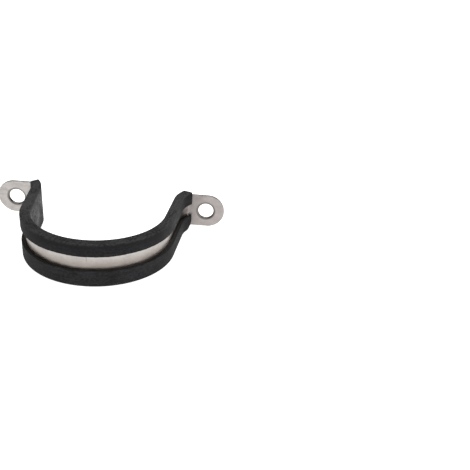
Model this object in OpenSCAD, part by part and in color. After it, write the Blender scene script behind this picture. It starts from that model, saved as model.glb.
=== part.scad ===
// Rubber-lined U-shaped pipe clip, standing on its edge with the pipe axis upright.
// The crown of the U lies towards -Y, and the ears bolt to a flat wall at +Y.

/* [Pipe] */
// Outside diameter of the pipe that the clip holds
pipe_d = 73; // [50:1:120]
// How far the ears stop short of the back of the pipe, so that the bolts pinch it
pinch = 3.6; // [0:0.1:5]

/* [Steel strip] */
// Width of the strip
strip_w = 20; // [16:0.5:30]
// Thickness of the strip
strip_t = 1.5; // [1.2:0.1:3]
// Radius of the dressed edges of the strip
strip_edge_r = 0.3; // [0.1:0.05:0.5]
// Inside radius of the bend between a leg and its ear
bend_r = 1.5; // [1:0.1:4]
// How much the bend draws the strip thinner, on each face
bend_thin = 0.03; // [0.02:0.01:0.06]

/* [Legs] */
// Outward lean of the straight legs of the open clip, in degrees
leg_splay = 5.5; // [1:0.5:8]
// Further outward turn where a leg flares towards its ear, in degrees
flare_angle = 34; // [15:1:35]
// Radius of the flare, on the outside of the liner
flare_r = 16; // [8:0.5:20]

/* [Ears] */
// Distance from the end of the bend to the centre of the bolt hole
hole_setback = 9.7; // [8:0.1:25]
// Distance from the centre of the bolt hole to the centre of the ear's round end
tip_reach = 1; // [0:0.1:5]
// Diameter of the bolt holes
bolt_hole_d = 9; // [5:0.1:11]
// Radius of the rolled edge of the holes, on the side of the bolt head
hole_roll_r = 0.9; // [0.3:0.1:1.1]

/* [Rubber liner] */
// Rubber between the strip and the pipe
pad_t = 1.5; // [1.2:0.1:4]
// Rubber of the lips that fold over the outside of the strip
lip_t = 2.3; // [1.2:0.1:3]
// Rubber beside each edge of the strip
side_t = 2.2; // [1.2:0.1:3.5]
// Height of the upper lip, from the upper edge of the liner
upper_lip_h = 6.8; // [5:0.1:8]
// Height of the lower lip, from the lower edge of the liner
lower_lip_h = 9.1; // [5:0.1:9.5]
// Clearance between the strip and its channel in the liner
channel_gap = 0.1; // [0.05:0.05:0.3]
// Least distance from the ends of the liner to the wall
wall_gap = 0.6; // [0.2:0.1:1.5]
// Radius of the edges of the liner next to the pipe
seat_edge_r = 0.5; // [0.2:0.1:0.9]
// Radius of the edges of the liner on its outside
outer_edge_r = 1.4; // [0.5:0.1:1.8]
// Radius of the free edges of the lips
lip_edge_r = 0.5; // [0.2:0.1:0.9]

/* [Hidden] */
$fn = 96;

// Overlap of a cutter past the face that it opens
over = 1;

// Distances outward from the pipe wall
strip_in = pad_t + channel_gap;
strip_out = strip_in + strip_t;
liner_t = strip_out + channel_gap + lip_t;

// Heights above the lower edge of the liner
strip_z = side_t + channel_gap;
strip_mid_z = strip_z + strip_w / 2;
liner_w = strip_w + 2 * strip_z;

// Centres of the flare and of the bend, measured outward from the pipe wall
flare_c = liner_t + flare_r;
bend_c = strip_out + bend_r;

// Straight part of the legs, which brings the ears to the wall
pipe_r = pipe_d / 2;
wall_y = pipe_r - pinch;
turned_r = bend_r + strip_t;
flare_end = leg_splay + flare_angle;
flare_out = pipe_r + flare_c;
bend_y = wall_y - turned_r;
flare_y = bend_y - (flare_c - bend_c) * sin(flare_end);
leg_len = (flare_y + flare_out * sin(leg_splay)) / cos(leg_splay);

// Place of the bend's centre along the wall
flare_x = flare_out * cos(leg_splay) + leg_len * sin(leg_splay);
bend_x = flare_x - (flare_c - bend_c) * cos(flare_end);

// Straight part of an ear, from its bend to its round end
ear_len = hole_setback + tip_reach;

// The bend starts inside the end of the flare, by as much as its thinning hides
bend_lap = acos(1 - bend_thin / turned_r / 2);
bend_turn = 90 - flare_end + bend_lap;

// The liner is cut square, before its pad meets the wall and before the strip turns to the ear
liner_end = asin((wall_y - wall_gap - flare_y) / flare_c);
liner_turn = min(liner_end, flare_end) - leg_splay;

// Corner that rounds a square edge: the tip lies at the origin, and the stock in the third quadrant
module edge_round(r) {
    difference() {
        translate([-r, -r]) square(r + over);
        translate([-r, -r]) circle(r);
    }
}

// Rectangle with one radius on its two left corners and another on its two right corners
module rounded_bar(w, h, left_r, right_r) {
    difference() {
        square([w, h]);
        rotate([0, 0, 180]) edge_round(left_r);
        translate([0, h]) mirror([1, 0]) edge_round(left_r);
        translate([w, 0]) mirror([0, 1]) edge_round(right_r);
        translate([w, h]) edge_round(right_r);
    }
}

// Section of the strip: outward from the pipe along X, height along Y
module strip_section(grow = 0) {
    translate([strip_in - grow, strip_z - grow])
        rounded_bar(strip_t + 2 * grow, strip_w + 2 * grow, strip_edge_r, strip_edge_r);
}

// Section of the liner: a channel whose lips leave a window over the strip
module liner_section() {
    window_h = liner_w - upper_lip_h - lower_lip_h;
    difference() {
        rounded_bar(liner_t, liner_w, seat_edge_r, outer_edge_r);
        strip_section(channel_gap);
        translate([strip_in, lower_lip_h]) square([liner_t, window_h]);
        translate([liner_t, lower_lip_h]) edge_round(lip_edge_r);
        translate([liner_t, liner_w - upper_lip_h]) mirror([0, 1]) edge_round(lip_edge_r);
    }
}

// Section drawn out to a length, which ends at Y = 0
module straight(length) {
    rotate([90, 0, 0]) linear_extrude(length) children();
}

// Section turned about a centre that lies on its outside
module outward_turn(centre, angle) {
    rotate_extrude(angle = angle) translate([centre, 0]) mirror([1, 0]) children();
}

module both_sides() {
    children();
    mirror([1, 0, 0]) children();
}

// Section carried round the crown, up both legs and through both flares. Each side has its own
// quarter of the crown, which leans out with the leg, so the quarters overlap in the middle.
module saddle_sweep(turn) {
    both_sides()
        rotate([0, 0, -leg_splay]) {
            mirror([0, 1, 0]) rotate_extrude(angle = 90) translate([pipe_r, 0]) children();
            translate([pipe_r, leg_len, 0]) straight(leg_len) children();
            translate([flare_out, leg_len, 0])
                mirror([1, 0, 0]) outward_turn(flare_c, turn) children();
        }
}

// Round end of an ear: half of the strip's section, turned about the middle of the strip
module ear_end() {
    rotate([0, 0, -90])
        rotate_extrude(angle = 180)
            intersection() {
                translate([-strip_mid_z, 0])
                    rotate([0, 0, -90]) mirror([1, 0]) strip_section();
                square([strip_w, strip_out + over]);
            }
}

// Bolt hole with its rolled edge on the side of the bolt head
module hole_cutter() {
    hole_r = bolt_hole_d / 2;
    translate([0, 0, strip_in - over]) cylinder(r = hole_r, h = strip_t + 2 * over);
    rotate_extrude()
        difference() {
            translate([0, strip_out - hole_roll_r])
                square([hole_r + hole_roll_r, hole_roll_r + over]);
            translate([hole_r + hole_roll_r, strip_out - hole_roll_r]) circle(hole_roll_r);
        }
}

// Ear with its bend: the bend is drawn thin, and the ear has a round end past its hole
module ear() {
    translate([bend_x, bend_y, 0])
        difference() {
            union() {
                rotate([0, 0, 90]) outward_turn(bend_c, bend_turn) strip_section(-bend_thin);
                translate([ear_len, bend_c, 0])
                    rotate([0, 0, -90]) straight(ear_len) strip_section();
                translate([ear_len, bend_c, strip_mid_z]) rotate([90, 0, 0]) ear_end();
            }
            translate([hole_setback, bend_c, strip_mid_z]) rotate([90, 0, 0]) hole_cutter();
        }
}

module steel_band() {
    color([0.72, 0.70, 0.69]) {
        saddle_sweep(flare_angle) strip_section();
        both_sides() ear();
    }
}

module rubber_liner() {
    color([0.15, 0.15, 0.16]) saddle_sweep(liner_turn) liner_section();
}

steel_band();
rubber_liner();
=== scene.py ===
"""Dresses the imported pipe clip: a satin steel strip with two ears, held in a black rubber channel.

Sizes are in millimetres and degrees unless a docstring says otherwise. The objects are made in
metres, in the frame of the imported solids: +Z along the pipe, the crown of the U towards -Y, and the
wall at +Y.
"""

from __future__ import annotations

import logging
import math
from dataclasses import dataclass, field
from enum import Enum
from typing import Any, Mapping, Sequence, Union

import bmesh
import bpy
import numpy as np
from mathutils import Matrix, Vector

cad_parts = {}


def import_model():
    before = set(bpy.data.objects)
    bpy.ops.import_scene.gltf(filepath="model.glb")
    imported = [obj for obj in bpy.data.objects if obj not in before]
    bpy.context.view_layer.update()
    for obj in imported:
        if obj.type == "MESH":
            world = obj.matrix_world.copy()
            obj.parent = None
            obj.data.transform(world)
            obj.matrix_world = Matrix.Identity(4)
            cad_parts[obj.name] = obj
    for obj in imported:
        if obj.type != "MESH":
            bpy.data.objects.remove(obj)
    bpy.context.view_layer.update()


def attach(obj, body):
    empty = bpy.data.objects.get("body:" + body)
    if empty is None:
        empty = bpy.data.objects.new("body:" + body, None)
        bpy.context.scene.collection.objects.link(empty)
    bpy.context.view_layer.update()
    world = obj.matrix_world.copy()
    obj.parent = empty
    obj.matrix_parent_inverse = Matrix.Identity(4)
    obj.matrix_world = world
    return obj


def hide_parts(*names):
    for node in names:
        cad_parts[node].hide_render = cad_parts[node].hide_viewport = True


LOG = logging.getLogger("pipe_clip")
MM = 0.001

# Turns points in plan over to the other half of the clip.
MIRROR = np.array([-1.0, 1.0])

Colour = tuple[float, float, float]
Place = tuple[float, float, float]
Pair = tuple[float, float]
Line = tuple[np.ndarray, np.ndarray, np.ndarray]
Number = Union["Signal", float]
Socket = bpy.types.NodeSocket


def quarter(steps: int) -> np.ndarray:
    """Angles of a quarter turn cut into steps, in radians."""
    return np.linspace(0, math.pi / 2, steps + 1)


def shares(steps: int) -> np.ndarray:
    """Shares of a way cut into steps, from 0 to 1."""
    return np.linspace(0, 1, steps + 1)


class MathStep(Enum):
    """The sums that a Math node is asked for."""

    ADD = "ADD"
    TAKE = "SUBTRACT"
    TIMES = "MULTIPLY"
    OVER = "DIVIDE"
    POWER = "POWER"


class Signal:
    """A value socket of a material that takes part in Python sums."""

    def __init__(self, bench: FinishBench, socket: Socket) -> None:
        """Keeps the socket and the bench whose tree it belongs to."""
        self.bench = bench
        self.socket = socket

    def _sum(self, step: MathStep, first: Number, second: Number) -> Signal:
        """Adds one Math node.

        Args:
            step: the sum to make.
            first: left side of the sum.
            second: right side of the sum.

        Returns:
            The node's result.
        """
        sockets = {0: first, 1: second}
        node = self.bench.node("ShaderNodeMath", {"operation": step.value}, sockets)
        return Signal(self.bench, node.outputs[0])

    def __add__(self, other: Number) -> Signal:
        """Sum of two values."""
        return self._sum(MathStep.ADD, self, other)

    def __radd__(self, other: Number) -> Signal:
        """Sum with a number on the left."""
        return self._sum(MathStep.ADD, other, self)

    def __sub__(self, other: Number) -> Signal:
        """Difference of two values."""
        return self._sum(MathStep.TAKE, self, other)

    def __rsub__(self, other: Number) -> Signal:
        """Difference with a number on the left."""
        return self._sum(MathStep.TAKE, other, self)

    def __mul__(self, other: Number) -> Signal:
        """Product of two values."""
        return self._sum(MathStep.TIMES, self, other)

    def __rmul__(self, other: Number) -> Signal:
        """Product with a number on the left."""
        return self._sum(MathStep.TIMES, other, self)

    def __truediv__(self, other: Number) -> Signal:
        """Quotient of two values."""
        return self._sum(MathStep.OVER, self, other)

    def __rtruediv__(self, other: Number) -> Signal:
        """Quotient with a number on the left."""
        return self._sum(MathStep.OVER, other, self)

    def __pow__(self, other: Number) -> Signal:
        """Power of a value."""
        return self._sum(MathStep.POWER, self, other)

    def __rpow__(self, other: Number) -> Signal:
        """Power with a number on the left."""
        return self._sum(MathStep.POWER, other, self)


class FinishBench:
    """Builds the node tree of one material."""

    # Numbers of the Mix node's colour sockets, which share their names with its other sockets.
    MIX_SHARE, MIX_UNDER, MIX_OVER, MIX_RESULT = 0, 6, 7, 2

    def __init__(self, name: str) -> None:
        """Makes an empty material with an output.

        Args:
            name: the material's name.
        """
        self.material = bpy.data.materials.new(name)
        self.material.use_nodes = True
        self.tree = self.material.node_tree
        self.tree.nodes.clear()
        self.output = self.node("ShaderNodeOutputMaterial")

    def node(
        self,
        kind: str,
        settings: Mapping[str, Any] | None = None,
        sockets: Mapping[Any, Any] | None = None,
    ) -> bpy.types.Node:
        """Adds a node.

        Args:
            kind: the node's type.
            settings: its properties, set first; stops fills a ramp with (position, grey) pairs.
            sockets: values, signals or sockets for its inputs, by name or number.

        Returns:
            The node.
        """
        made = self.tree.nodes.new(kind)
        for key, value in (settings or {}).items():
            if key == "stops":
                self._fill_ramp(made.color_ramp, value)
            else:
                setattr(made, key, value)
        for key, value in (sockets or {}).items():
            if isinstance(value, Signal):
                value = value.socket
            if isinstance(value, Socket):
                self.tree.links.new(value, made.inputs[key])
            else:
                made.inputs[key].default_value = value
        return made

    @staticmethod
    def _fill_ramp(ramp: bpy.types.ColorRamp, stops: Sequence[Pair]) -> None:
        """Sets a grey ramp.

        Args:
            ramp: the ramp to fill.
            stops: (position, grey) pairs in rising order.
        """
        while len(ramp.elements) < len(stops):
            ramp.elements.new(1.0)
        for element, (position, grey) in zip(ramp.elements, stops):
            element.position = position
            element.color = (grey, grey, grey, 1.0)

    def attribute(self, name: str) -> Socket:
        """Vector that the mesh carries under a name."""
        return self.node("ShaderNodeAttribute", {"attribute_name": name}).outputs["Vector"]

    def parts(self, vector: Socket) -> tuple[Signal, Signal, Signal]:
        """The three values of a vector."""
        outputs = self.node("ShaderNodeSeparateXYZ", None, {0: vector}).outputs
        return Signal(self, outputs[0]), Signal(self, outputs[1]), Signal(self, outputs[2])

    def stretch(self, vector: Socket, by: Place) -> Socket:
        """Vector multiplied along each axis."""
        sockets = {0: vector, 1: by}
        return self.node("ShaderNodeVectorMath", {"operation": "MULTIPLY"}, sockets).outputs[0]

    def noise(self, vector: Socket, scale: Place, detail: float, rough: float) -> Signal:
        """Cloudy noise, from 0 to 1 about a half.

        Args:
            vector: place on the surface.
            scale: how fast the noise changes along each axis.
            detail: number of finer layers.
            rough: strength of the finer layers.

        Returns:
            The noise.
        """
        place = self.stretch(vector, scale)
        sockets = {"Vector": place, "Scale": 1.0, "Detail": detail, "Roughness": rough}
        return Signal(self, self.node("ShaderNodeTexNoise", None, sockets).outputs[0])

    def ramp(self, value: Signal, *stops: Pair) -> Signal:
        """Value sent through a grey ramp."""
        made = self.node("ShaderNodeValToRGB", {"stops": stops}, {0: value})
        return Signal(self, made.outputs[0])

    def tint(self, share: Number, under: Colour | Socket, over: Colour | Socket) -> Socket:
        """Mixes two colours.

        Args:
            share: how much of the upper colour shows.
            under: lower colour.
            over: upper colour.

        Returns:
            The mixed colour.
        """
        under, over = (c + (1.0,) if isinstance(c, tuple) else c for c in (under, over))
        sockets = {self.MIX_SHARE: share, self.MIX_UNDER: under, self.MIX_OVER: over}
        return self.node("ShaderNodeMix", {"data_type": "RGBA"}, sockets).outputs[self.MIX_RESULT]

    def bump(self, strength: float, depth: float, height: Signal) -> Socket:
        """Normal of a fine relief, from how much of it shows, its depth and its form."""
        sockets = {"Strength": strength, "Distance": depth * MM, "Height": height}
        return self.node("ShaderNodeBump", None, sockets).outputs[0]

    def finish(self, sockets: Mapping[str, Any]) -> bpy.types.Material:
        """Closes the tree with a Principled shader.

        Args:
            sockets: the shader's inputs.

        Returns:
            The finished material.
        """
        shader = self.node("ShaderNodeBsdfPrincipled", None, sockets)
        self.tree.links.new(shader.outputs[0], self.output.inputs["Surface"])
        return self.material


@dataclass(frozen=True)
class StripSpot:
    """Where a point lies on the strip, and the noises that the layers of its finish share.

    The ways to the bends are shares of the length from the crown, and above_lip is the share of the
    window's height over the lower lip.
    """

    run: Signal
    to_bend: Signal
    to_right_bend: Signal
    on_saddle: Signal
    above_lip: Signal
    grain: Signal
    cloud: Signal
    pits: Signal


@dataclass(frozen=True)
class SatinSteel:
    """Finish of the strip: stainless, brushed along its length, stained, with painted shade and
    painted light in places.

    The scales of the noises are for one millimetre. Where the painted shade on the legs, on the right
    leg and in the creases begins, and over how much it spreads, are shares of the length from the
    crown to a bend.
    """

    name: str = "satin_steel"
    bright: Colour = (0.412, 0.391, 0.375)
    dull: Colour = (0.318, 0.297, 0.284)
    # Dark grey: specks and the nick in the crown, and painted shade on the right leg and under the
    # upper lip.
    grime_and_shade: Colour = (0.17, 0.15, 0.137)
    deep_shade: Colour = (0.10, 0.09, 0.083)
    # Near black for painted shade: deep in the window on the legs, in the creases of the bends and on
    # the rolled edge round the holes.
    stain_and_shade: Colour = (0.19, 0.150, 0.122)
    lightened: Colour = (0.80, 0.72, 0.65)
    handled: Colour = (0.272, 0.245, 0.237)
    grain_length: float = 9.0
    grain_pitch: float = 0.16
    cloud_scale: Place = (0.16, 0.22, 1.0)
    pit_scale: Place = (0.7, 0.9, 1.0)
    leg_shade_from: float = 0.6
    leg_shade_over: float = 0.2
    right_shade_from: float = 0.55
    right_shade_over: float = 0.4
    crease_from: float = 0.97
    crease_over: float = 0.03
    nick_run: float = 1.6
    nick_width: float = 1.2
    ring_shade_share: float = 0.72
    roughness: float = 0.36
    grain_gloss: float = 0.22
    cloud_gloss: float = 0.16
    relief: float = 0.35
    relief_depth: float = 0.02

    def spot(self, bench: FinishBench, flat: Socket, sizes: ClipSizes) -> StripSpot:
        """Finds where a point lies.

        Args:
            bench: material in the making.
            flat: place on the unbent strip.
            sizes: sizes of the clip.

        Returns:
            The place and its noises.
        """
        run, height, _ = bench.parts(flat)
        window = sizes.liner_w - sizes.upper_lip_h - sizes.lower_lip_h
        brushed = (1 / self.grain_length, 1 / self.grain_pitch, 1.0)
        to_bend = (run * run) ** 0.5 / sizes.ear_run
        return StripSpot(
            run=run,
            to_bend=to_bend,
            to_right_bend=run / sizes.ear_run,
            on_saddle=bench.ramp(to_bend, (0.97, 1.0), (0.995, 0.0)),
            above_lip=(height - sizes.lower_lip_h) / window,
            grain=bench.noise(flat, brushed, 4.0, 0.6),
            cloud=bench.noise(flat, self.cloud_scale, 3.0, 0.6),
            pits=bench.noise(flat, self.pit_scale, 4.0, 0.7),
        )

    def metal(self, bench: FinishBench, spot: StripSpot) -> Socket:
        """Colours the bare metal.

        Args:
            bench: material in the making.
            spot: where a point lies.

        Returns:
            The metal's colour, patchy and specked.
        """
        patches = spot.cloud * 0.4 + spot.grain * 0.25 + spot.pits * 0.35
        wear = bench.ramp(patches, (0.42, 0.0), (0.6, 1.0))
        specks = bench.ramp(spot.pits, (0.66, 0.0), (0.78, 0.5))
        return bench.tint(specks, bench.tint(wear, self.bright, self.dull), self.grime_and_shade)

    def soil(self, bench: FinishBench, spot: StripSpot, colour: Socket) -> Socket:
        """Lays a stain and painted shade by the lower lip, painted light above it, and painted shade
        on the legs.

        Args:
            bench: material in the making.
            spot: where a point lies.
            colour: colour of the metal.

        Returns:
            The stained and painted colour.
        """
        noisy_height = spot.above_lip + (spot.cloud - 0.5) * 0.3
        # Brown stain and painted shade: the strip turns darker and warmer towards the lower lip.
        stained_and_shaded = bench.ramp(noisy_height, (0.0, 0.45), (0.3, 0.55), (0.55, 0.22), (0.8, 0.0))
        colour = bench.tint(stained_and_shaded * spot.on_saddle, colour, self.stain_and_shade)
        # Painted light: the strip just above the lower lip is lightened.
        lightened = bench.ramp(spot.above_lip + 0.15, (0.0, 0.9), (0.32, 0.0))
        colour = bench.tint(lightened * spot.on_saddle, colour, self.lightened)
        # Painted shade: the lower part of the window on the legs, deep between the lips, is darkened.
        up_leg = (spot.to_bend - self.leg_shade_from) / self.leg_shade_over
        leg_shade = bench.ramp(noisy_height, (0.35, 0.9), (0.62, 0.0))
        leg_shade = leg_shade * bench.ramp(up_leg, (0.0, 0.0), (0.5, 1.0))
        colour = bench.tint(leg_shade * spot.on_saddle, colour, self.deep_shade)
        # Painted shade: the strip along the right leg is darkened, fading out before the bend.
        up_right = (spot.to_right_bend - self.right_shade_from) / self.right_shade_over
        right_leg_shade = bench.ramp(up_right, (0.0, 0.0), (0.25, 0.5), (0.8, 0.5), (1.0, 0.0))
        colour = bench.tint(right_leg_shade, colour, self.grime_and_shade)
        # Painted shadow: a thin ragged dark line on the strip just under the upper lip.
        ragged = spot.above_lip + (spot.pits - 0.5) * 0.08
        under_lip_shadow = bench.ramp(ragged, (0.93, 0.0), (0.97, 0.85))
        return bench.tint(under_lip_shadow * spot.on_saddle, colour, self.grime_and_shade)

    def mark(
        self, bench: FinishBench, spot: StripSpot, sizes: ClipSizes, colour: Socket
    ) -> Socket:
        """Lays the nick in the crown, painted shade in the creases of the bends, and the dull right
        ear.

        Args:
            bench: material in the making.
            spot: where a point lies.
            sizes: sizes of the clip.
            colour: colour of the stained and painted strip.

        Returns:
            The marked colour.
        """
        beside = (spot.run - self.nick_run) / self.nick_width + 0.5
        nick = bench.ramp(beside, (0.2, 0.0), (0.4, 0.6), (0.6, 0.6), (0.8, 0.0))
        nick = nick * bench.ramp(spot.above_lip, (0.45, 0.0), (0.6, 1.0))
        colour = bench.tint(nick, colour, self.grime_and_shade)
        # Painted shade in the concave crease of each bend.
        at_bend = (spot.to_bend - self.crease_from) / self.crease_over
        crease = bench.ramp(at_bend, (0.2, 0.0), (0.5, 0.9), (0.8, 0.9), (1.0, 0.0))
        colour = bench.tint(crease, colour, self.deep_shade)
        right_ear = bench.ramp(spot.run / sizes.hole_run, (0.84, 0.0), (0.86, 1.0))
        handled = right_ear * bench.ramp(spot.cloud, (0.3, 0.55), (0.7, 0.9))
        return bench.tint(handled, colour, self.handled)

    def hole_ring_shade(self, bench: FinishBench, flat: Socket, sizes: ClipSizes) -> Signal:
        """Finds the painted shade on the rolled edge round the bolt holes, on the head side.

        Args:
            bench: material in the making.
            flat: place on the unbent strip.
            sizes: sizes of the clip.

        Returns:
            1 on the rolled edge, 0 away from it.
        """
        spread = bench.stretch(flat, (1.0, 1.0, 0.0))
        folded = bench.node("ShaderNodeVectorMath", {"operation": "ABSOLUTE"}, {0: spread})
        ends = {0: folded.outputs[0], 1: (sizes.hole_run, sizes.strip_mid_z, 0.0)}
        reach = bench.node("ShaderNodeVectorMath", {"operation": "DISTANCE"}, ends)
        past = (Signal(bench, reach.outputs["Value"]) - sizes.hole_r) / (2 * sizes.hole_roll_r)
        front = (bench.parts(flat)[2] - sizes.strip_in) / sizes.strip_t
        ring = bench.ramp(past, (0.55, 1.0), (0.85, 0.0))
        return ring * bench.ramp(front, (0.25, 0.0), (0.4, 1.0))

    def material(self, sizes: ClipSizes) -> bpy.types.Material:
        """Builds the nodes for a mesh that carries flat, the place on the unbent strip.

        Args:
            sizes: sizes of the clip.

        Returns:
            The material.
        """
        bench = FinishBench(self.name)
        flat = bench.attribute("flat")
        spot = self.spot(bench, flat, sizes)
        colour = self.soil(bench, spot, self.metal(bench, spot))
        colour = self.mark(bench, spot, sizes, colour)
        ring = self.hole_ring_shade(bench, flat, sizes) * self.ring_shade_share
        rough = self.roughness + (spot.grain - 0.5) * self.grain_gloss
        return bench.finish(
            {
                "Base Color": bench.tint(ring, colour, self.deep_shade),
                "Metallic": 1.0,
                "Roughness": rough + (spot.cloud - 0.5) * self.cloud_gloss,
                "Normal": bench.bump(self.relief, self.relief_depth, spot.grain + spot.pits * 0.4),
            }
        )


@dataclass(frozen=True)
class LinerSpot:
    """Where a point lies on the liner, and the noises that the layers of its finish share.

    The way up_lip is a share of the lip's reach from the seat's upper edge, across is a share of
    the seat, and edge runs from 0 in a recess to 1 on an edge.
    """

    along: Signal
    up_lip: Signal
    across: Signal
    edge: Signal
    streaks: Signal
    cloud: Signal
    pebble: Signal
    grain: Signal


@dataclass(frozen=True)
class ChannelRubber:
    """Finish of the liner: extruded black rubber, matt, paler on the legs, talc and painted sheen on
    the seat.

    The scales of the noises are for one millimetre. Where along the liner the legs begin to grow
    paler, and how long that ramp is, are in millimetres. The top face, the edges and the ledge carry
    painted light.
    """

    name: str = "channel_rubber"
    black: Colour = (0.0068, 0.0069, 0.0078)
    bloom: Colour = (0.0236, 0.0238, 0.0256)
    # Lighter grey for scuffs and a painted highlight along the rounded edges.
    scuff_and_highlight: Colour = (0.040, 0.0395, 0.039)
    # Paler grey: the upper side of the legs, and painted light on the top face.
    pale_top: Colour = (0.051, 0.051, 0.051)
    # Pale grey on the seat: talc, and a painted sheen.
    talc_and_sheen: Colour = (0.145, 0.145, 0.145)
    # Brownish grey for the recess: painted light that lifts the shaded ledge above the black rubber.
    recess: Colour = (0.036, 0.032, 0.026)
    # Paler grey: more painted light on the ledge along the legs.
    painted_ledge_light: Colour = (0.10, 0.095, 0.09)
    streak_scale: Place = (0.035, 1.6, 0.0)
    cloud_scale: Place = (0.12, 0.16, 0.0)
    pebble_scale: Place = (2.6, 2.6, 0.0)
    grain_scale: Place = (0.8, 0.95, 0.0)
    paler_from: float = 40.0
    paler_over: float = 50.0
    lip_reach: float = 12.0
    roughness: float = 0.82
    grain_gloss: float = 0.3
    bloom_gloss: float = 0.12
    recess_gloss: float = 0.3
    shine: float = 0.12
    relief: float = 0.6
    relief_depth: float = 0.06

    def spot(self, bench: FinishBench, run: Socket, seat: Pair) -> LinerSpot:
        """Finds where a point lies.

        Args:
            bench: material in the making.
            run: place along and round the section.
            seat: where the face next to the pipe starts and ends, round the section.

        Returns:
            The place and its noises.
        """
        along, around, exposed = bench.parts(run)
        return LinerSpot(
            along=along,
            up_lip=(seat[0] - around) / self.lip_reach,
            across=(around - seat[0]) / (seat[1] - seat[0]),
            edge=exposed * 0.5 + 0.5,
            streaks=bench.noise(run, self.streak_scale, 3.0, 0.6),
            cloud=bench.noise(run, self.cloud_scale, 3.0, 0.6),
            pebble=bench.noise(run, self.pebble_scale, 3.0, 0.65),
            grain=bench.noise(run, self.grain_scale, 3.0, 0.65),
        )

    def lighten_top_and_seat(
        self, bench: FinishBench, spot: LinerSpot, legs: Signal, colour: Socket
    ) -> Socket:
        """Lays a paler grey on the legs' upper side, painted light on the top face, and talc and
        painted sheen on the seat.

        Args:
            bench: material in the making.
            spot: where a point lies.
            legs: share of the paler grey on the legs.
            colour: colour of the rubber.

        Returns:
            The colour with its paler parts, painted light and talc.
        """
        # The upper side turns paler on the legs.
        upper = bench.ramp(spot.up_lip, (0.0, 0.0), (0.05, 1.0))
        # Painted light: the top face is lighter, with a painted highlight near its outer edge.
        rim_stops = ((0.0, 0.1), (0.14, 0.55), (0.38, 0.55), (0.46, 0.75), (0.55, 0.0))
        rim = bench.ramp(spot.up_lip, *rim_stops)
        mottle = bench.ramp(spot.grain * 0.7 + spot.cloud * 0.3, (0.42, 0.1), (0.58, 1.0))
        colour = bench.tint((legs * upper + rim) * mottle, colour, self.pale_top)
        # Talc and painted sheen: pale grey patches across the seat.
        seat_stops = ((0.0, 0.0), (0.12, 0.8), (0.3, 1.0), (0.7, 0.75), (1.0, 0.0))
        inside = bench.ramp(spot.across, *seat_stops)
        patches = bench.ramp(spot.grain * 0.5 + spot.cloud * 0.5, (0.4, 0.0), (0.6, 1.0))
        return bench.tint(inside * patches, colour, self.talc_and_sheen)

    def material(self, seat: Pair) -> bpy.types.Material:
        """Builds the nodes for a mesh that carries run, the place along and round the section.

        Args:
            seat: where the face next to the pipe starts and ends, round the section.

        Returns:
            The material.
        """
        bench = FinishBench(self.name)
        spot = self.spot(bench, bench.attribute("run"), seat)
        patches = spot.cloud * 0.25 + spot.streaks * 0.25 + spot.grain * 0.5
        bloomed = bench.ramp(patches, (0.43, 0.0), (0.58, 1.0))
        colour = bench.tint(bloomed, self.black, self.bloom)
        shaded = bench.ramp(spot.up_lip, (0.5, 0.0), (0.6, 0.6), (0.75, 0.35), (0.98, 0.0))
        colour = bench.tint(shaded, colour, self.black)
        # The legs grow paler away from the crown; this share also sets the painted light on the
        # ledge.
        out = ((spot.along * spot.along) ** 0.5 - self.paler_from) / self.paler_over
        legs = bench.ramp(out, (0.0, 0.0), (0.45, 1.0), (0.7, 0.7), (1.0, 0.15))
        colour = self.lighten_top_and_seat(bench, spot, legs, colour)
        # Scuffs and a painted highlight along the rounded edges.
        scuffs = bench.ramp(spot.cloud * 0.5 + spot.pebble * 0.5, (0.42, 0.0), (0.64, 0.8))
        lightened = bench.ramp(spot.edge, (0.5, 0.0), (1.0, 1.0)) * scuffs
        colour = bench.tint(lightened, colour, self.scuff_and_highlight)
        # Painted light: the recess and the ledge get a lighter colour than the black rubber to lift
        # their shade, more on the legs.
        recess = bench.ramp(spot.edge, (0.0, 1.0), (0.5, 0.0))
        ledge = bench.tint(legs, self.recess, self.painted_ledge_light)
        rough = self.roughness + (spot.grain - 0.5) * self.grain_gloss
        rough = rough + (bloomed - 0.5) * self.bloom_gloss + recess * self.recess_gloss
        height = spot.pebble * 0.6 + spot.grain + spot.streaks * 0.8
        return bench.finish(
            {
                "Base Color": bench.tint(recess, colour, ledge),
                "Roughness": rough,
                "Specular IOR Level": self.shine,
                "Normal": bench.bump(self.relief, self.relief_depth, height),
            }
        )


@dataclass(frozen=True)
class PaleFloor:
    """Finish of the studio floor: a pale, matt light table with the faintest unevenness."""

    name: str = "pale_floor"
    pale: Colour = (0.90, 0.90, 0.90)
    shade: Colour = (0.88, 0.88, 0.88)
    cloud_scale: Place = (6.0, 6.0, 6.0)
    roughness: float = 0.9
    glow: float = 0.8

    def material(self) -> bpy.types.Material:
        """Builds the nodes.

        Returns:
            The material.
        """
        bench = FinishBench(self.name)
        place = bench.node("ShaderNodeTexCoord").outputs["Object"]
        cloud = bench.noise(place, self.cloud_scale, 2.0, 0.55)
        pale = bench.tint(cloud, self.pale, self.shade)
        return bench.finish(
            {
                "Base Color": pale,
                "Roughness": self.roughness,
                "Specular IOR Level": 0.0,
                "Emission Color": pale,
                "Emission Strength": self.glow,
            }
        )


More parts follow.
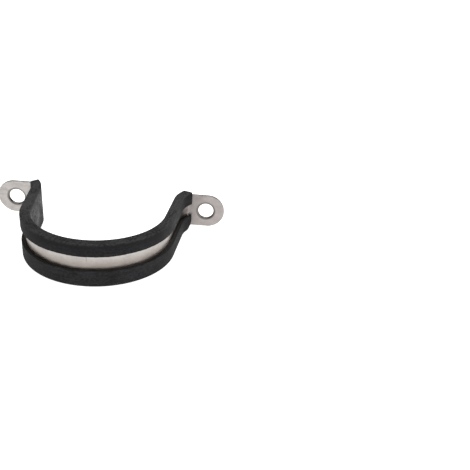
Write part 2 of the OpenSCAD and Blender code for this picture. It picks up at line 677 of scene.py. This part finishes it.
@dataclass(frozen=True)
class ClipSizes:
    """Sizes of the clip, as the solids have them."""

    pipe_r: float = 36.5
    wall_y: float = 32.9
    strip_w: float = 20.0
    strip_t: float = 1.5
    strip_edge_r: float = 0.3
    bend_r: float = 1.5
    leg_splay: float = 5.5
    flare_angle: float = 34.0
    flare_r: float = 16.0
    hole_setback: float = 9.7
    tip_reach: float = 1.0
    hole_r: float = 4.5
    hole_roll_r: float = 0.9
    pad_t: float = 1.5
    lip_t: float = 2.3
    side_t: float = 2.2
    upper_lip_h: float = 6.8
    lower_lip_h: float = 9.1
    channel_gap: float = 0.1
    wall_gap: float = 0.6
    lip_edge_r: float = 0.5

    @property
    def strip_in(self) -> float:
        """Distance from the pipe wall to the inner face of the strip."""
        return self.pad_t + self.channel_gap

    @property
    def strip_out(self) -> float:
        """Distance from the pipe wall to the outer face of the strip."""
        return self.strip_in + self.strip_t

    @property
    def strip_r(self) -> float:
        """Radius of the middle of the strip round the crown."""
        return self.pipe_r + self.strip_in + self.strip_t / 2

    @property
    def bend_mid_r(self) -> float:
        """Radius of the middle of the strip in the bend."""
        return self.bend_r + self.strip_t / 2

    @property
    def lip_in(self) -> float:
        """Distance from the pipe wall to the underside of the lips."""
        return self.strip_out + self.channel_gap

    @property
    def liner_t(self) -> float:
        """Distance from the pipe wall to the outside of the liner."""
        return self.lip_in + self.lip_t

    @property
    def strip_z(self) -> float:
        """Height of the lower edge of the strip."""
        return self.side_t + self.channel_gap

    @property
    def strip_mid_z(self) -> float:
        """Height of the middle of the strip."""
        return self.strip_z + self.strip_w / 2

    @property
    def liner_w(self) -> float:
        """Height of the upper edge of the liner."""
        return self.strip_w + 2 * self.strip_z

    @property
    def flare_c(self) -> float:
        """Distance from the pipe wall to the centre of the flare."""
        return self.liner_t + self.flare_r

    @property
    def bend_c(self) -> float:
        """Distance from the pipe wall to the centre of the bend."""
        return self.strip_out + self.bend_r

    @property
    def flare_end(self) -> float:
        """Lean of the strip at the end of the flare."""
        return self.leg_splay + self.flare_angle

    @property
    def bend_y(self) -> float:
        """Place of the bend's centre towards the wall."""
        return self.wall_y - self.bend_r - self.strip_t

    @property
    def flare_y(self) -> float:
        """Place of the flare's centre towards the wall."""
        return self.bend_y - (self.flare_c - self.bend_c) * math.sin(math.radians(self.flare_end))

    @property
    def leg_len(self) -> float:
        """Length of the straight part of a leg."""
        lean = math.radians(self.leg_splay)
        return (self.flare_y + (self.pipe_r + self.flare_c) * math.sin(lean)) / math.cos(lean)

    @property
    def flare_x(self) -> float:
        """Place of the flare's centre along the wall."""
        lean = math.radians(self.leg_splay)
        return (self.pipe_r + self.flare_c) * math.cos(lean) + self.leg_len * math.sin(lean)

    @property
    def bend_x(self) -> float:
        """Place of the bend's centre along the wall."""
        return self.flare_x - (self.flare_c - self.bend_c) * math.cos(math.radians(self.flare_end))

    @property
    def ear_len(self) -> float:
        """Length of the straight part of an ear, from its bend to its round end."""
        return self.hole_setback + self.tip_reach

    @property
    def liner_turn(self) -> float:
        """How far the flare has turned where the liner is cut square."""
        at_wall = math.asin((self.wall_y - self.wall_gap - self.flare_y) / self.flare_c)
        return min(math.degrees(at_wall), self.flare_end) - self.leg_splay

    @property
    def hole_run(self) -> float:
        """Adds up the strip from the middle of the crown to a bolt hole.

        Returns:
            The length.
        """
        crown = math.radians(90 - self.leg_splay) * self.strip_r
        flare = math.radians(self.flare_angle) * (self.flare_c - self.strip_in)
        bend = math.radians(90 - self.flare_end) * self.bend_mid_r
        return crown + self.leg_len + flare + bend + self.hole_setback

    @property
    def ear_run(self) -> float:
        """Length along the strip from the middle of the crown to the start of an ear."""
        return self.hole_run - self.hole_setback


@dataclass(frozen=True)
class SaddleLine:
    """Line of the pipe wall seen along the pipe, from the crown up one leg and out to the ear."""

    sizes: ClipSizes

    @staticmethod
    def outward(lean: np.ndarray) -> np.ndarray:
        """Directions away from the pipe where the strip leans by these angles, in radians."""
        return np.stack([np.cos(lean), -np.sin(lean)], -1)

    def crown(self, steps: int) -> Line:
        """Round part, from the middle of the crown to the leg.

        Args:
            steps: number of steps.

        Returns:
            Points, directions outward, and lengths along the strip.
        """
        lean = np.linspace(math.pi / 2, math.radians(self.sizes.leg_splay), steps + 1)
        away = self.outward(lean)
        return away * self.sizes.pipe_r, away, (math.pi / 2 - lean) * self.sizes.strip_r

    def leg(self, steps: int) -> Line:
        """Straight part, without its first point.

        Args:
            steps: number of steps.

        Returns:
            Points, directions outward, and lengths from the start of the leg.
        """
        lean = math.radians(self.sizes.leg_splay)
        far = np.linspace(0, self.sizes.leg_len, steps + 1)[1:]
        away = np.repeat(self.outward(np.array([lean])), steps, 0)
        along = np.array([math.sin(lean), math.cos(lean)])
        return away * self.sizes.pipe_r + far[:, None] * along, away, far

    def flare(self, turn: np.ndarray) -> Line:
        """Outward curve.

        Args:
            turn: how far the curve has turned at each point, in radians.

        Returns:
            Points, directions outward, and lengths from the start of the flare.
        """
        size = self.sizes
        away = self.outward(math.radians(size.leg_splay) + turn)
        centre = np.array([size.flare_x, size.flare_y])
        return centre - size.flare_c * away, away, turn * (size.flare_c - size.strip_in)

    def bend(self, steps: int) -> Line:
        """Tight bend into the ear, without its first point.

        Args:
            steps: number of steps.

        Returns:
            Points, directions outward, and lengths from the start of the bend.
        """
        size = self.sizes
        start = math.radians(size.flare_end)
        lean = np.linspace(start, math.pi / 2, steps + 1)[1:]
        away = self.outward(lean)
        centre = np.array([size.bend_x, size.bend_y])
        return centre - size.bend_c * away, away, (lean - start) * size.bend_mid_r


@dataclass
class MeshDraft:
    """Points, faces and carried vectors of a mesh in the making."""

    points: list[np.ndarray] = field(default_factory=list)
    carried: list[np.ndarray] = field(default_factory=list)
    faces: list[tuple[int, ...]] = field(default_factory=list)
    count: int = 0
    weld: float = 0.002
    shading_weight: int = 60

    def add(self, points: np.ndarray, carried: np.ndarray) -> np.ndarray:
        """Adds points.

        Args:
            points: array of any shape whose last axis is x, y, z.
            carried: vector that each point carries, in the same shape.

        Returns:
            The numbers of the points, in the same shape.
        """
        flat = points.reshape(-1, 3)
        self.points.append(flat)
        self.carried.append(carried.reshape(-1, 3))
        numbers = np.arange(self.count, self.count + len(flat)).reshape(points.shape[:-1])
        self.count += len(flat)
        return numbers

    def skin(
        self, numbers: np.ndarray, round_first: bool = False, round_second: bool = False
    ) -> None:
        """Covers a grid of points with four-sided faces.

        Args:
            numbers: the grid's point numbers.
            round_first: whether the grid closes on itself along its first axis.
            round_second: whether it closes along its second axis.
        """
        if round_first:
            numbers = np.concatenate([numbers, numbers[:1]], 0)
        if round_second:
            numbers = np.concatenate([numbers, numbers[:, :1]], 1)
        a, b = numbers[:-1, :-1], numbers[1:, :-1]
        c, d = numbers[1:, 1:], numbers[:-1, 1:]
        corners = np.stack([a, b, c, d], -1).reshape(-1, 4)
        self.faces += [tuple(face) for face in corners.tolist()]

    def build(self, name: str, vector_name: str) -> bpy.types.Object:
        """Makes the object, with doubled points joined and all faces turned outward.

        Args:
            name: the object's name.
            vector_name: name under which the mesh keeps the carried vectors.

        Returns:
            The object, in metres.
        """
        mesh = bpy.data.meshes.new(name)
        points = np.concatenate(self.points) * MM
        mesh.from_pydata(points.tolist(), [], self.faces)
        kept = mesh.attributes.new(vector_name, "FLOAT_VECTOR", "POINT")
        kept.data.foreach_set("vector", np.concatenate(self.carried).astype(np.float32).ravel())
        shell = bmesh.new()
        shell.from_mesh(mesh)
        bmesh.ops.remove_doubles(shell, verts=shell.verts, dist=self.weld * MM)
        bmesh.ops.recalc_face_normals(shell, faces=shell.faces)
        for face in shell.faces:
            face.smooth = True
        shell.to_mesh(mesh)
        shell.free()
        made = bpy.data.objects.new(name, mesh)
        bpy.context.scene.collection.objects.link(made)
        even = made.modifiers.new("even_shading", "WEIGHTED_NORMAL")
        even.keep_sharp = False
        even.weight = self.shading_weight
        return made


class Side(Enum):
    """The two halves of the clip, by the sign of X."""

    LEFT = -1
    RIGHT = 1


@dataclass
class SteelBand:
    """The strip: bent round the saddle and flared, with an ear and a bolt hole on each side."""

    sizes: ClipSizes
    finish: SatinSteel = SatinSteel()
    hole_deburr_r: float = 0.15
    crown_steps: int = 60
    leg_steps: int = 8
    flare_steps: int = 14
    bend_steps: int = 16
    face_steps: int = 16
    edge_steps: int = 3
    ear_steps: int = 10
    tip_steps: int = 56
    ear_rings: int = 7
    ring_spread: float = 1.3
    roll_steps: int = 8
    deburr_steps: int = 3

    def face_heights(self) -> np.ndarray:
        """Spreads points across a flat face of the strip.

        Returns:
            Their heights.
        """
        size = self.sizes
        low = size.strip_z + size.strip_edge_r
        high = size.strip_z + size.strip_w - size.strip_edge_r
        return np.linspace(low, high, self.face_steps + 1)

    def edge_profile(self) -> np.ndarray:
        """Dressed edge of the strip, from the outer face round to the inner face.

        Returns:
            Rows of distance past the flat face's edge and distance from the pipe wall.
        """
        size, r = self.sizes, self.sizes.strip_edge_r
        turn = quarter(self.edge_steps)
        front = np.stack([r * np.sin(turn), size.strip_out - r + r * np.cos(turn)], -1)
        back = np.stack([r * np.cos(turn), size.strip_in + r - r * np.sin(turn)], -1)
        return np.concatenate([front, back])

    def section(self) -> np.ndarray:
        """Closed outline of the strip's section.

        Returns:
            Rows of distance from the pipe wall and height.
        """
        heights, edge = self.face_heights(), self.edge_profile()
        out, into = self.sizes.strip_out, self.sizes.strip_in
        top = np.stack([edge[1:-1, 1], heights[-1] + edge[1:-1, 0]], -1)
        bottom = np.stack([edge[1:-1, 1], heights[0] - edge[1:-1, 0]], -1)[::-1]
        front = np.stack([np.full_like(heights, out), heights], -1)
        back = np.stack([np.full_like(heights, into), heights[::-1]], -1)
        return np.concatenate([front, top, back, bottom])

    def half_line(self) -> Line:
        """Line of the strip from the crown to an ear.

        Returns:
            Points, directions outward, and lengths along the strip.
        """
        line = SaddleLine(self.sizes)
        turn = np.linspace(0, math.radians(self.sizes.flare_angle), self.flare_steps + 1)[1:]
        crown, leg = line.crown(self.crown_steps), line.leg(self.leg_steps)
        parts = (crown, leg, line.flare(turn), line.bend(self.bend_steps))
        start, runs = 0.0, []
        for part in parts:
            runs.append(part[2] + start)
            start = float(runs[-1][-1])
        points, away = (np.concatenate([part[k] for part in parts]) for k in (0, 1))
        return points, away, np.concatenate(runs)

    def sweep(self, draft: MeshDraft) -> float:
        """Carries the section along the strip from ear to ear.

        Args:
            draft: mesh that takes the faces.

        Returns:
            Length along the strip from the crown to the start of an ear.
        """
        points, away, runs = self.half_line()
        points = np.concatenate([points[:0:-1] * MIRROR, points])
        away = np.concatenate([away[:0:-1] * MIRROR, away])
        full = np.concatenate([-runs[:0:-1], runs])
        section = self.section()
        plan = points[:, None] + away[:, None] * section[None, :, :1]
        heights = np.broadcast_to(section[None, :, 1:], plan[..., :1].shape)
        run = np.broadcast_to(full[:, None, None], heights.shape)
        depth = np.broadcast_to(section[None, :, :1], heights.shape)
        spots = np.concatenate([plan, heights], -1)
        numbers = draft.add(spots, np.concatenate([run, heights, depth], -1))
        draft.skin(numbers, round_second=True)
        return float(runs[-1])

    def ear_outline(self) -> tuple[np.ndarray, np.ndarray, int]:
        """Edge of an ear's flat face, from the bend round the tip and back, and down the bend.

        Returns:
            Points as distance from the bend and height, the directions past the edge, and the
            number of points that lie on the free edge.
        """
        size, heights = self.sizes, self.face_heights()
        reach = np.linspace(0, size.ear_len, self.ear_steps + 1)
        low = np.stack([reach, np.full_like(reach, heights[0])], -1)
        high = np.stack([reach[::-1], np.full_like(reach, heights[-1])], -1)
        turn = np.linspace(-math.pi / 2, math.pi / 2, self.tip_steps + 1)[1:-1]
        ray = np.stack([np.cos(turn), np.sin(turn)], -1)
        centre = np.array([size.ear_len, size.strip_mid_z])
        tip = centre + ray * (size.strip_w / 2 - size.strip_edge_r)
        bend = np.stack([np.zeros(self.face_steps - 1), heights[-2:0:-1]], -1)
        down, up = np.array([[0.0, -1.0]]), np.array([[0.0, 1.0]])
        past = np.concatenate([down.repeat(len(low), 0), ray, up.repeat(len(high), 0)])
        free = np.concatenate([low, tip, high])
        return np.concatenate([free, bend]), past, len(free)

    def hole_profile(self) -> np.ndarray:
        """Wall of a bolt hole, from the rolled edge to the wall side.

        Returns:
            Rows of radius and distance from the pipe wall.
        """
        size, roll, burr = self.sizes, self.sizes.hole_roll_r, self.hole_deburr_r
        turn = quarter(self.roll_steps)
        radius = size.hole_r + roll - roll * np.sin(turn)
        rolled = np.stack([radius, size.strip_out - roll + roll * np.cos(turn)], -1)
        turn = quarter(self.deburr_steps)
        radius = size.hole_r + burr - burr * np.cos(turn)
        dressed = np.stack([radius, size.strip_in + burr - burr * np.sin(turn)], -1)
        return np.concatenate([rolled, dressed])

    def ear(self, draft: MeshDraft, side: Side, start: float) -> None:
        """Adds one ear: two flat faces, the dressed edge and the bolt hole.

        Args:
            draft: mesh that takes the faces.
            side: which half of the clip.
            start: length along the strip where the ear begins.
        """
        size = self.sizes
        outline, past, free = self.ear_outline()
        centre = np.array([size.hole_setback, size.strip_mid_z])
        ray = outline - centre
        ray /= np.linalg.norm(ray, axis=1, keepdims=True)

        def place(flat: np.ndarray, depth: np.ndarray) -> np.ndarray:
            """Puts points of the unbent ear in their place.

            Args:
                flat: distances from the bend and heights.
                depth: distances from the pipe wall.

            Returns:
                The numbers of the points.
            """
            x = side.value * (size.bend_x + flat[..., 0])
            y = size.bend_y + size.bend_c - depth
            run = side.value * (start + flat[..., 0])
            spots = np.stack([x, y, flat[..., 1]], -1)
            return draft.add(spots, np.stack([run, flat[..., 1], depth], -1))

        hole = self.hole_profile()
        share = shares(self.ear_rings)[:, None, None] ** self.ring_spread
        for radius, depth in (hole[0], hole[-1]):
            flat = (centre + ray * radius) * (1 - share) + outline * share
            draft.skin(place(flat, np.full(flat.shape[:-1], depth)), round_second=True)
        edge = self.edge_profile()
        rim = outline[:free, None] + past[:, None] * edge[None, :, :1]
        draft.skin(place(rim, np.broadcast_to(edge[None, :, 1], rim.shape[:-1])))
        wall = centre + ray[:, None] * hole[None, :, :1]
        depths = np.broadcast_to(hole[None, :, 1], wall.shape[:-1])
        draft.skin(place(wall, depths), round_first=True)

    def dress(self, made: bpy.types.Object) -> None:
        """Gives the strip its finish, and puts it in the place of its solid.

        Args:
            made: the strip.
        """
        made.data.materials.append(self.finish.material(self.sizes))
        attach(made, "root")
        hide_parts("steel_band")

    def build(self) -> bpy.types.Object:
        """Builds the strip and dresses it.

        Returns:
            The strip, which stands for its solid.
        """
        draft = MeshDraft()
        start = self.sweep(draft)
        for side in Side:
            self.ear(draft, side, start)
        made = draft.build("satin_strip", "flat")
        self.dress(made)
        return made


@dataclass
class RubberLiner:
    """The channel of rubber: a pad under the strip, and two lips folded over its outer face.

    The lips waver in a sum of waves, each with its length and share. The cut ends take their noise
    from a place of their own, cut_along and cut_around past the rest of the liner.
    """

    sizes: ClipSizes
    finish: ChannelRubber = ChannelRubber()
    channel_edge_r: float = 0.3
    upper_seat_r: float = 0.8
    lower_seat_r: float = 2.0
    crisp_outer_r: float = 0.9
    lip_inner_r: float = 0.2
    lip_wear_and_highlight: float = 0.8
    lip_recess: float = 0.4
    low_corner_r: float = 6.0
    high_corner_r: float = 0.4
    left_slant: float = -0.8
    right_slant: float = 1.6
    upper_sag: float = 0.5
    leg_sag: float = 0.8
    sag_from: float = 58.0
    sag_over: float = 14.0
    lower_slope: float = 0.7
    lip_sway: float = 0.16
    lip_blend: float = 0.3
    upper_give: float = 5.0
    lower_give: float = 7.0
    upper_phase: float = 0.7
    lower_phase: float = 2.9
    waves: tuple[Pair, ...] = ((41.0, 0.5), (17.3, 0.3), (6.1, 0.2), (2.7, 0.25))
    cut_edge: float = 0.16
    cut_edge_most: float = 0.25
    cut_along: float = 90.0
    cut_around: float = 40.0
    cut_exposed: float = 0.2
    crown_steps: int = 84
    leg_steps: int = 24
    flare_steps: int = 20
    lip_steps: int = 9
    side_steps: int = 5
    pad_steps: int = 8
    round_steps: int = 8
    small_round_steps: int = 5

    def half_section(self, lip_h: float, slope: float, seat: float) -> np.ndarray:
        """One half of the channel's section, from the free edge of its lip to the pad's middle.

        Args:
            lip_h: height of the lip.
            slope: how much shorter the lip is next to the strip.
            seat: radius of the edge next to the pipe.

        Returns:
            Rows of outside (distance from the pipe wall, distance from the liner's edge), inside
            (the same) and how exposed the outside is there, from -1 in a recess to 1 on an edge.
        """
        size = self.sizes
        out, into, pad, side = size.liner_t, size.lip_in, size.pad_t, size.side_t
        free, worn, nook = size.lip_edge_r, self.crisp_outer_r, self.channel_edge_r
        rows: list[tuple[float, ...]] = []
        for turn in quarter(self.small_round_steps):
            s, c, r = math.sin(turn), math.cos(turn), self.lip_inner_r
            outside = (out - free + free * s, lip_h - free + free * c)
            inside = (into + r - r * s, lip_h - slope - r + r * c)
            # Scuffs and a painted highlight peak half way round the lip's rounding; its top next to
            # the strip is marked as recess and gets the ledge's painted light.
            exposed = self.lip_wear_and_highlight * math.sin(2 * turn) - self.lip_recess * c**8
            rows.append((*outside, *inside, exposed))
        for share in shares(self.lip_steps)[1:]:
            outside = (out, lip_h - free + (worn - lip_h + free) * share)
            top = lip_h - slope - self.lip_inner_r
            inside = (into, top + (side + nook - top) * share)
            rows.append((*outside, *inside, 0.0))
        for turn in quarter(self.round_steps)[1:]:
            s, c = math.sin(turn), math.cos(turn)
            inside = (into - nook + nook * c, side + nook - nook * s)
            rows.append((out - worn + worn * c, worn - worn * s, *inside, math.sin(2 * turn)))
        for share in shares(self.side_steps)[1:-1]:
            outside = (out - worn + (seat - out + worn) * share, 0.0)
            inside = (into - nook + (pad + 2 * nook - into) * share, side)
            rows.append((*outside, *inside, 0.0))
        for turn in quarter(self.small_round_steps):
            s, c = math.sin(turn), math.cos(turn)
            inside = (pad + nook - nook * s, side + nook - nook * c)
            rows.append((seat - seat * s, seat - seat * c, *inside, math.sin(2 * turn)))
        middle = size.liner_w / 2
        for share in shares(self.pad_steps)[1:]:
            inside = (pad, side + nook + (middle - side - nook) * share)
            rows.append((0.0, seat + (middle - seat) * share, *inside, 0.0))
        return np.array(rows)

    def section(self) -> np.ndarray:
        """Whole section, from the free edge of the upper lip to that of the lower one.

        Returns:
            Rows as in half_section, with heights in place of distances from the edge.
        """
        size = self.sizes
        upper = self.half_section(size.upper_lip_h + self.upper_sag, 0.0, self.upper_seat_r)
        lower = self.half_section(size.lower_lip_h, self.lower_slope, self.lower_seat_r)
        upper[:, [1, 3]] = size.liner_w - upper[:, [1, 3]]
        return np.concatenate([upper, lower[-2::-1]])

    def short_of_end(self, height: np.ndarray) -> np.ndarray:
        """Finds how far the rounded corners of a cut end leave it short.

        Args:
            height: heights above the liner's lower edge.

        Returns:
            One length for each height.
        """
        low_r, high_r = self.low_corner_r, self.high_corner_r
        low = np.clip(low_r - height, 0, low_r)
        high = np.clip(height - self.sizes.liner_w + high_r, 0, high_r)
        return low_r - np.sqrt(low_r**2 - low**2) + high_r - np.sqrt(high_r**2 - high**2)

    def end_turn(self, side: Side, depth: np.ndarray, height: np.ndarray) -> np.ndarray:
        """Turn of the flare at which a cut end lies.

        Args:
            side: which half of the clip.
            depth: distances from the pipe wall.
            height: heights above the liner's lower edge.

        Returns:
            One angle for each place on the end, in radians.
        """
        slant = self.left_slant if side is Side.LEFT else self.right_slant
        reach = slant * depth / self.sizes.liner_t - self.short_of_end(height)
        return math.radians(self.sizes.liner_turn) + reach / (self.sizes.flare_c - depth)

    def sway(self, run: np.ndarray, phase: float) -> np.ndarray:
        """Unevenness at lengths along the liner, about 0; its phase gives each lip its own."""
        rounds = 2 * math.pi * run
        return sum(part * np.sin(rounds / wave + phase * wave) for wave, part in self.waves)

    def half(
        self, side: Side, depth: np.ndarray, height: np.ndarray
    ) -> tuple[np.ndarray, np.ndarray]:
        """Lines along one half of the liner, from the crown to the broken edge of its end.

        Args:
            side: which half of the clip.
            depth: distance of each line from the pipe wall.
            height: height of each line.

        Returns:
            Points in plan, by step and line, and lengths along the liner.
        """
        line = SaddleLine(self.sizes)
        crown, leg = line.crown(self.crown_steps), line.leg(self.leg_steps)
        start = crown[2][-1]
        points = np.concatenate([crown[0], leg[0]])[:, None]
        away = np.concatenate([crown[1], leg[1]])[:, None]
        runs = np.concatenate([crown[2], leg[2] + start])[:, None]
        ends = self.end_turn(side, depth, height) - self.cut_edge / (self.sizes.flare_c - depth)
        flare = line.flare(shares(self.flare_steps)[1:, None] * ends[None])
        far = depth[None, :, None]
        plan = np.concatenate([points + away * far, flare[0] + flare[1] * far])
        full = np.concatenate([runs.repeat(len(depth), 1), flare[2] + start + leg[2][-1]])
        return plan, full

    def drape(self, runs: np.ndarray, depth: np.ndarray, height: np.ndarray) -> np.ndarray:
        """Lets both lips waver, and the upper one sag on the legs.

        Args:
            runs: lengths along the liner, by step and line.
            depth: distance of each line from the pipe wall.
            height: height of each line before it gives.

        Returns:
            Heights by step and line.
        """
        size, middle = self.sizes, self.sizes.liner_w / 2
        lip = np.clip((depth - size.lip_in + self.lip_blend) / self.lip_blend, 0, 1)
        below_top = np.clip((size.liner_w - size.side_t - height) / self.upper_give, 0, 1)
        upper = lip * below_top * (height > middle)
        lower = lip * np.clip((height - size.side_t) / self.lower_give, 0, 1) * (height < middle)
        sag = self.leg_sag * np.clip((np.abs(runs) - self.sag_from) / self.sag_over, 0, 1)
        heights = np.broadcast_to(height[None], runs.shape).copy()
        heights += upper[None] * (self.lip_sway * self.sway(runs, self.upper_phase) - sag)
        heights += lower[None] * self.lip_sway * self.sway(runs, self.lower_phase)
        return heights

    def cap(
        self,
        draft: MeshDraft,
        side: Side,
        rows: np.ndarray,
        numbers: np.ndarray,
        heights: np.ndarray,
    ) -> None:
        """Closes one cut end of the liner, with the edge of the cut a little broken.

        Args:
            draft: mesh that takes the faces.
            side: which half of the clip.
            rows: the section.
            numbers: point numbers of the swept liner.
            heights: heights of its points.
        """
        last = 0 if side is Side.LEFT else -1
        count = len(rows)
        outer_h, inner_h = heights[last, :count], heights[last, count:][::-1]
        thick = np.hypot(rows[:, 0] - rows[:, 2], outer_h - inner_h)
        broken = np.clip(self.cut_edge / thick, 0.0, self.cut_edge_most)
        columns = (broken, np.full(count, 1 / 3), np.full(count, 2 / 3), 1 - broken)
        line = SaddleLine(self.sizes)
        face = []
        for share in columns:
            depth = rows[:, 0] * (1 - share) + rows[:, 2] * share
            level = rows[:, 1] * (1 - share) + rows[:, 3] * share
            points, away, run = line.flare(self.end_turn(side, depth, level))
            plan = (points + away * depth[:, None]) * np.array([side.value, 1.0])
            height = outer_h * (1 - share) + inner_h * share
            along, around = side.value * (run + self.cut_along), height + self.cut_around
            carried = np.stack([along, around, np.full(count, self.cut_exposed)], -1)
            face.append(draft.add(np.concatenate([plan, height[:, None]], -1), carried))
        draft.skin(np.array(face))
        rim = np.concatenate([face[0], face[-1][::-1]])
        draft.skin(np.stack([numbers[last], rim]), round_second=True)
        for k in (0, -1):
            draft.faces.append(tuple(int(column[k]) for column in face))

    def dress(self, made: bpy.types.Object, seat: Pair) -> None:
        """Gives the liner its finish, and puts it in the place of its solid.

        Args:
            made: the liner.
            seat: where the face next to the pipe starts and ends, round the section.
        """
        made.data.materials.append(self.finish.material(seat))
        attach(made, "root")
        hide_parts("rubber_liner")

    def build(self) -> bpy.types.Object:
        """Builds the liner and dresses it.

        Returns:
            The liner, which stands for its solid.
        """
        rows = self.section()
        depth = np.concatenate([rows[:, 0], rows[::-1, 2]])
        height = np.concatenate([rows[:, 1], rows[::-1, 3]])
        exposed = np.concatenate([rows[:, 4], np.full(len(rows), -1.0)])
        left, left_runs = self.half(Side.LEFT, depth, height)
        right, right_runs = self.half(Side.RIGHT, depth, height)
        plan = np.concatenate([left[:0:-1] * MIRROR, right])
        runs = np.concatenate([-left_runs[:0:-1], right_runs])
        heights = self.drape(runs, depth, height)
        steps = np.hypot(np.diff(depth, append=depth[0]), np.diff(height, append=height[0]))
        around = np.concatenate([[0], np.cumsum(steps)[:-1]])
        carried = np.stack(np.broadcast_arrays(runs, around[None], exposed[None]), -1)
        draft = MeshDraft()
        numbers = draft.add(np.concatenate([plan, heights[..., None]], -1), carried)
        draft.skin(numbers, round_second=True)
        for side in Side:
            self.cap(draft, side, rows, numbers, heights)
        made = draft.build("rubber_channel", "run")
        seat = around[depth == 0]
        self.dress(made, (float(seat.min()), float(seat.max())))
        return made


@dataclass(frozen=True)
class SoftBox:
    """A square studio light that looks at a point, in metres and watts."""

    name: str
    place: Place
    target: Place
    width: float
    power: float

    def build(self) -> bpy.types.Object:
        """Hangs the light.

        Returns:
            The light.
        """
        lamp = bpy.data.lights.new(self.name, "AREA")
        lamp.shape, lamp.size, lamp.energy = "SQUARE", self.width, self.power
        made = bpy.data.objects.new(self.name, lamp)
        made.location = self.place
        made.rotation_mode = "QUATERNION"
        facing = Vector(self.target) - Vector(self.place)
        made.rotation_quaternion = facing.to_track_quat("-Z", "Y")
        bpy.context.scene.collection.objects.link(made)
        return made


@dataclass(frozen=True)
class PhotoCamera:
    """Camera as it stood for the photograph.

    The lens is given in picture widths, and what it can see, from nearest to farthest, in metres.
    """

    name: str = "photo_camera"
    lens: float = 640 / 470
    sensor_w: float = 36.0
    nearest: float = 0.01
    farthest: float = 50.0
    elevation: float = 27.848
    distance: float = 386.50
    clip_x: float = -75.17
    clip_y: float = -27.60
    clip_yaw: float = 0.50
    roll: float = 4.669

    def build(self) -> bpy.types.Object:
        """Places the camera, which looks at a point beside the clip.

        Returns:
            The camera.
        """
        lens = bpy.data.cameras.new(self.name)
        lens.sensor_width = self.sensor_w
        lens.lens = self.lens * lens.sensor_width
        lens.clip_start, lens.clip_end = self.nearest, self.farthest
        up = math.radians(self.elevation)
        spot = Vector((0, -self.distance * math.cos(up), self.distance * math.sin(up)))
        unturn = Matrix.Rotation(-math.radians(self.clip_yaw), 3, "Z")
        clip = Vector((self.clip_x, self.clip_y, 0))
        eye, target = unturn @ (spot - clip), unturn @ -clip
        facing = (target - eye).to_track_quat("-Z", "Y").to_matrix()
        turned = facing @ Matrix.Rotation(math.radians(self.roll), 3, "Z")
        made = bpy.data.objects.new(self.name, lens)
        made.matrix_world = Matrix.Translation(eye * MM) @ turned.to_4x4()
        bpy.context.scene.collection.objects.link(made)
        bpy.context.scene.camera = made
        return made


@dataclass
class Studio:
    """Pale floor, soft light and camera; half the floor's width is in metres."""

    floor_finish: PaleFloor = PaleFloor()
    floor_half: float = 6.0
    floor_drop: float = 0.02
    ambient: float = 0.30
    camera: PhotoCamera = PhotoCamera()
    overhead_box: SoftBox = SoftBox(
        "overhead_box", place=(0.0, -0.05, 0.90), target=(0.0, 0.0, 0.0), width=0.9, power=7.5
    )
    right_box: SoftBox = SoftBox(
        "right_box", place=(0.65, -0.25, 0.30), target=(0.0, 0.0, 0.012), width=0.5, power=1.5
    )

    def floor(self) -> bpy.types.Object:
        """Lays the floor just under the clip.

        Returns:
            The floor.
        """
        mesh = bpy.data.meshes.new("studio_floor")
        half, low = self.floor_half, -self.floor_drop * MM
        corners = [(-half, -half, low), (half, -half, low), (half, half, low), (-half, half, low)]
        mesh.from_pydata(corners, [], [(0, 1, 2, 3)])
        mesh.materials.append(self.floor_finish.material())
        made = bpy.data.objects.new("studio_floor", mesh)
        bpy.context.scene.collection.objects.link(made)
        return made

    def build(self) -> None:
        """Sets the stage, with white all round and plain colours out of the camera."""
        self.floor()
        world = bpy.data.worlds.new("studio_white")
        world.use_nodes = True
        sky = world.node_tree.nodes["Background"]
        sky.inputs["Color"].default_value = (1.0, 1.0, 1.0, 1.0)
        sky.inputs["Strength"].default_value = self.ambient
        scene = bpy.context.scene
        scene.world = world
        scene.view_settings.view_transform = "Standard"
        for light in (self.overhead_box, self.right_box):
            light.build()
        self.camera.build()


def main() -> None:
    """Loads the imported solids, dresses the clip and sets the stage."""
    logging.basicConfig(level=logging.INFO, format="%(name)s: %(message)s")
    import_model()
    sizes = ClipSizes()
    for part in (SteelBand(sizes), RubberLiner(sizes)):
        made = part.build()
        LOG.info("%s: %d faces", made.name, len(made.data.polygons))
    Studio().build()


if __name__ == "__main__":
    main()
